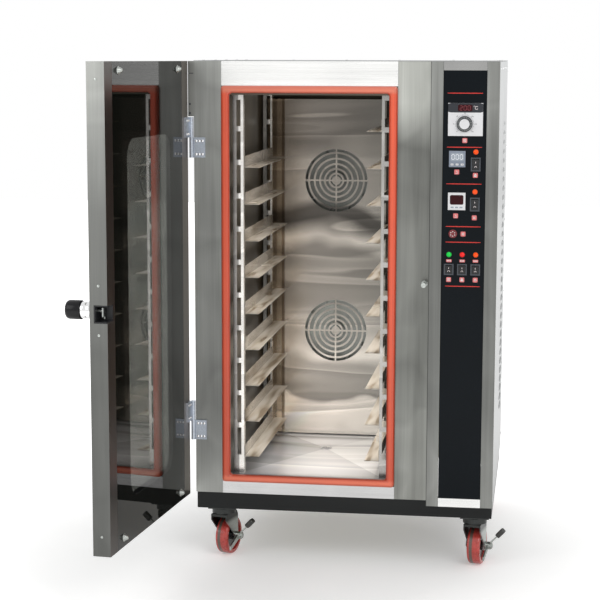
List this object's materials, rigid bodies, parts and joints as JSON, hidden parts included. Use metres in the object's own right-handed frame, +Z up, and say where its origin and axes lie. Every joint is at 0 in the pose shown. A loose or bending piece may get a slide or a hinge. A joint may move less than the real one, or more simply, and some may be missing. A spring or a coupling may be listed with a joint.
{
  "type": "bakery convection oven",
  "caption": "Free-standing bakery convection oven on castors, with a hinged full-height glass door, racked tray cavity, fan baffle and a side control column.",
  "frame": {"origin": "middle of the footprint on the floor, measured with the door standing open as in the picture", "axes": "+X to the oven's right, +Y into its depth away from the door opening, +Z up"},
  "size_m": [1.264, 1.6942, 1.678],
  "materials": {
    "brushed_stainless": "fine vertical brushed grain",
    "polished_stainless": "bright polished sheet",
    "black_paint": "semi-matt black paint",
    "zinc": "bright zinc plate",
    "chrome_trim": "polished",
    "red_silicone": "matt silicone",
    "mineral_wool": "fibrous slab",
    "heater_sheath": "dulled heater sheath",
    "motor_black": "enamel",
    "panel_black": "gloss printed fascia",
    "black_plastic": "fine textured",
    "white_plastic": "smooth",
    "timer_blue": "smooth",
    "lamp_lens": "tinted lens",
    "black_glass": "printed toughened glass",
    "clear_glass": "toughened glass",
    "red_polyurethane": "smooth tread"
  },
  "bodies": {
    "cabinet": {"back_panel": "brushed_stainless", "baking_timer": "timer_blue", "base_frame": "black_paint", "castor_heads": "zinc", "cavity_back": "polished_stainless", "cavity_floor": "polished_stainless", "cavity_sides": "polished_stainless", "cavity_top": "polished_stainless", "column_posts": "brushed_stainless", "column_trims": "polished_stainless", "control_panel": "panel_black", "fan_baffle": "polished_stainless", "fan_motors": "motor_black", "gasket": "red_silicone", "header": "polished_stainless", "heater_rings": "heater_sheath", "hinge_post_halves": "zinc", "insulation": "mineral_wool", "keeper": "zinc", "left_panel": "brushed_stainless", "left_post": "brushed_stainless", "mouth_frame": "polished_stainless", "panel_fittings": "black_plastic", "pilot_lamps": "lamp_lens", "rack_posts": "polished_stainless", "rear_castors": "zinc", "right_panel": "brushed_stainless", "right_post": "brushed_stainless", "shelf_rails": "polished_stainless", "sill": "polished_stainless", "steam_timer": "white_plastic", "temperature_controller": "white_plastic", "top_panel": "brushed_stainless"},
    "door": {"door_frame": "brushed_stainless", "latch_housing": "black_plastic", "inner_glass": "black_glass", "outer_glass": "clear_glass", "hinge_door_halves": "zinc"},
    "handle": {"handle_collar": "chrome_trim", "handle_grip": "black_plastic", "latch_hook": "zinc"},
    "fork_left": {"fork_left": "zinc"},
    "fork_right": {"fork_right": "zinc"},
    "wheel_front_left": {"wheel_front_left": "red_polyurethane"},
    "wheel_front_right": {"wheel_front_right": "red_polyurethane"},
    "brake_left": {"brake_left": "zinc"},
    "brake_right": {"brake_right": "zinc"},
    "wheel_rear_left": {"wheel_rear_left": "red_polyurethane"},
    "wheel_rear_right": {"wheel_rear_right": "red_polyurethane"},
    "fan_lower": {"fan_lower": "polished_stainless"},
    "fan_upper": {"fan_upper": "polished_stainless"},
    "temperature_dial": {"temperature_dial": "white_plastic"},
    "rocker_bake": {"rocker_bake": "black_plastic"},
    "rocker_steam": {"rocker_steam": "black_plastic"},
    "rocker_heat": {"rocker_heat": "black_plastic"},
    "rocker_fan": {"rocker_fan": "black_plastic"},
    "rocker_lamp": {"rocker_lamp": "black_plastic"},
    "button_set": {"button_set": "white_plastic"},
    "button_up": {"button_up": "white_plastic"},
    "button_start": {"button_start": "white_plastic"}
  },
  "joints": [
    {"name": "door_swing", "type": "hinge", "parent": "cabinet", "child": "door", "pos_m": [-0.41585, -0.07307, 0.957], "axis": [0, 0, 1], "range_deg": [-49.23, 95.77]},
    {"name": "handle_turn", "type": "hinge", "parent": "door", "child": "handle", "pos_m": [-0.55562, -0.81176, 0.957], "axis": [-0.9949, 0.1005, 0], "range_deg": [0, 90]},
    {"name": "swivel_left", "type": "hinge", "parent": "cabinet", "child": "fork_left", "pos_m": [-0.32085, -0.02687, 0.1525], "axis": [0, 0, 1], "continuous": true},
    {"name": "roll_front_left", "type": "hinge", "parent": "fork_left", "child": "wheel_front_left", "pos_m": [-0.31171, 0.00899, 0.06425], "axis": [0.969, -0.247, 0], "continuous": true},
    {"name": "brake_press_left", "type": "hinge", "parent": "fork_left", "child": "brake_left", "pos_m": [-0.31171, 0.00899, 0.06425], "axis": [-0.969, 0.247, 0], "range_deg": [0, 35]},
    {"name": "swivel_right", "type": "hinge", "parent": "cabinet", "child": "fork_right", "pos_m": [0.53115, -0.02687, 0.1525], "axis": [0, 0, 1], "continuous": true},
    {"name": "roll_front_right", "type": "hinge", "parent": "fork_right", "child": "wheel_front_right", "pos_m": [0.53802, 0.00949, 0.06425], "axis": [0.9826, -0.1857, 0], "continuous": true},
    {"name": "brake_press_right", "type": "hinge", "parent": "fork_right", "child": "brake_right", "pos_m": [0.53802, 0.00949, 0.06425], "axis": [-0.9826, 0.1857, 0], "range_deg": [0, 35]},
    {"name": "roll_rear_left", "type": "hinge", "parent": "cabinet", "child": "wheel_rear_left", "pos_m": [-0.32085, 0.75813, 0.06425], "axis": [1, 0, 0], "continuous": true},
    {"name": "roll_rear_right", "type": "hinge", "parent": "cabinet", "child": "wheel_rear_right", "pos_m": [0.53115, 0.75813, 0.06425], "axis": [1, 0, 0], "continuous": true},
    {"name": "fan_lower_spin", "type": "hinge", "parent": "cabinet", "child": "fan_lower", "pos_m": [-0.0225, 0.65363, 0.67995], "axis": [0, 1, 0], "continuous": true},
    {"name": "fan_upper_spin", "type": "hinge", "parent": "cabinet", "child": "fan_upper", "pos_m": [-0.0225, 0.65363, 1.23922], "axis": [0, 1, 0], "continuous": true},
    {"name": "dial_turn", "type": "hinge", "parent": "cabinet", "child": "temperature_dial", "pos_m": [0.48215, -0.14037, 1.4795], "axis": [0, -1, 0], "range_deg": [-135, 135]},
    {"name": "rocker_bake_tilt", "type": "hinge", "parent": "cabinet", "child": "rocker_bake", "pos_m": [0.51915, -0.13837, 1.3515], "axis": [1, 0, 0], "range_deg": [-18, 0]},
    {"name": "rocker_steam_tilt", "type": "hinge", "parent": "cabinet", "child": "rocker_steam", "pos_m": [0.51815, -0.13837, 1.224], "axis": [1, 0, 0], "range_deg": [-18, 0]},
    {"name": "rocker_heat_tilt", "type": "hinge", "parent": "cabinet", "child": "rocker_heat", "pos_m": [0.43815, -0.13837, 1.014], "axis": [1, 0, 0], "range_deg": [-18, 0]},
    {"name": "rocker_fan_tilt", "type": "hinge", "parent": "cabinet", "child": "rocker_fan", "pos_m": [0.48065, -0.13837, 1.014], "axis": [1, 0, 0], "range_deg": [-18, 0]},
    {"name": "rocker_lamp_tilt", "type": "hinge", "parent": "cabinet", "child": "rocker_lamp", "pos_m": [0.52315, -0.13837, 1.014], "axis": [1, 0, 0], "range_deg": [-18, 0]},
    {"name": "button_set_press", "type": "slide", "parent": "cabinet", "child": "button_set", "axis": [0, 1, 0], "range_m": [0, 0.0013], "stiffness_N_per_m": 800},
    {"name": "button_up_press", "type": "slide", "parent": "cabinet", "child": "button_up", "axis": [0, 1, 0], "range_m": [0, 0.0013], "stiffness_N_per_m": 800},
    {"name": "button_start_press", "type": "slide", "parent": "cabinet", "child": "button_start", "axis": [0, 1, 0], "range_m": [0, 0.0013], "stiffness_N_per_m": 800}
  ]
}
